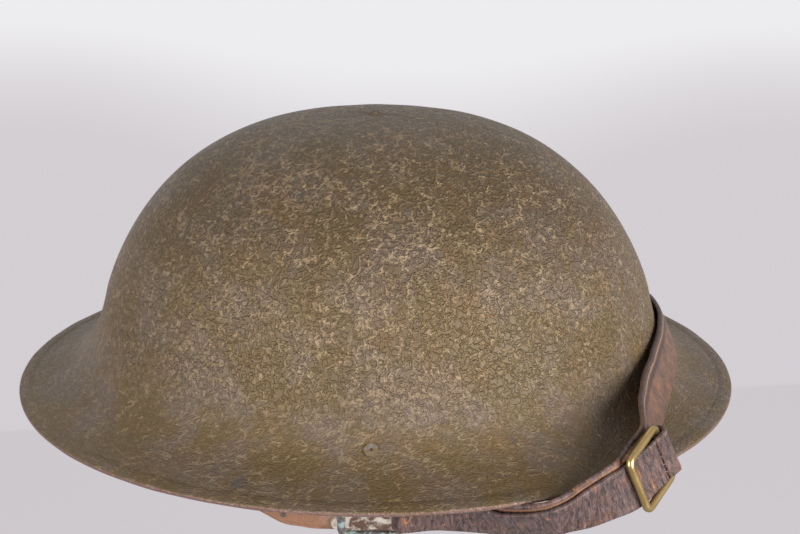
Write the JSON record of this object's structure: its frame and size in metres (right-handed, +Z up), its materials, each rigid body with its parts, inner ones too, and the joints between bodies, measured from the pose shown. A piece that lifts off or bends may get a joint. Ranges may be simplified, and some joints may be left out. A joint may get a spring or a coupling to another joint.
{
  "type": "steel helmet",
  "caption": "Shallow pressed steel helmet with a wide sloping brim, a leather and net head liner, and a leather chin strap with a wire slide buckle laid over the brim.",
  "frame": {"origin": "middle of the head opening in the plane of the rim's ends, where the wearer's head enters", "axes": "+X to the wearer's front, where the chin strap lies over the brim, +Z up through the crown, -Y to the buckle's side"},
  "size_m": [0.311, 0.2922, 0.1574],
  "materials": {
    "painted_steel": "olive drab paint with a coarse crinkled sand texture, worn",
    "rim_steel": "thin olive paint worn to the metal along the edge",
    "plain_steel": "dull grey steel",
    "wire_steel": "dull corroded steel wire",
    "liner_leather": "aged brown leather",
    "sweat_leather": "aged mottled leather",
    "strap_leather": "dark cracked leather with an orange-brown base",
    "twine": "plain cotton twine",
    "thread": "waxed linen thread",
    "felt": "grey-brown felt",
    "rubber": "old dark rubber",
    "brass": "dull old brass"
  },
  "bodies": {
    "helmet": {"shell": "painted_steel", "rim_binding": "rim_steel", "crown_rivet": "painted_steel", "crown_washer": "plain_steel", "crown_cross": "liner_leather", "head_band": "liner_leather", "sweatband": "sweat_leather", "liner_net": "twine", "crown_disc": "liner_leather", "crown_pad": "felt", "draw_cord": "twine", "rubber_buffers": "rubber", "buffer_brads": "plain_steel", "lower_brads": "plain_steel", "band_rivets": "plain_steel", "near_lug": "plain_steel", "far_lug": "plain_steel", "near_lug_rivet": "plain_steel", "far_lug_rivet": "plain_steel", "chinstrap": "strap_leather", "near_stitches": "thread", "far_stitches": "thread"},
    "near_bail": {"near_bail": "wire_steel"},
    "far_bail": {"far_bail": "wire_steel"},
    "buckle": {"buckle": "brass"}
  },
  "joints": [
    {"name": "near_bail_swing", "type": "hinge", "parent": "helmet", "child": "near_bail", "pos_m": [0, -0.11898, 0.00059], "axis": [-1, 0, 0], "range_deg": [-15, 35], "deforming": ["chinstrap"]},
    {"name": "far_bail_swing", "type": "hinge", "parent": "helmet", "child": "far_bail", "pos_m": [0, 0.11898, 0.00059], "axis": [1, 0, 0], "range_deg": [-15, 35], "deforming": ["chinstrap"]},
    {"name": "buckle_flip", "type": "hinge", "parent": "helmet", "child": "buckle", "pos_m": [0.11039, -0.10803, 0.00768], "axis": [-0.3752, -0.1268, 0.9182], "range_deg": [0, 100]}
  ]
}
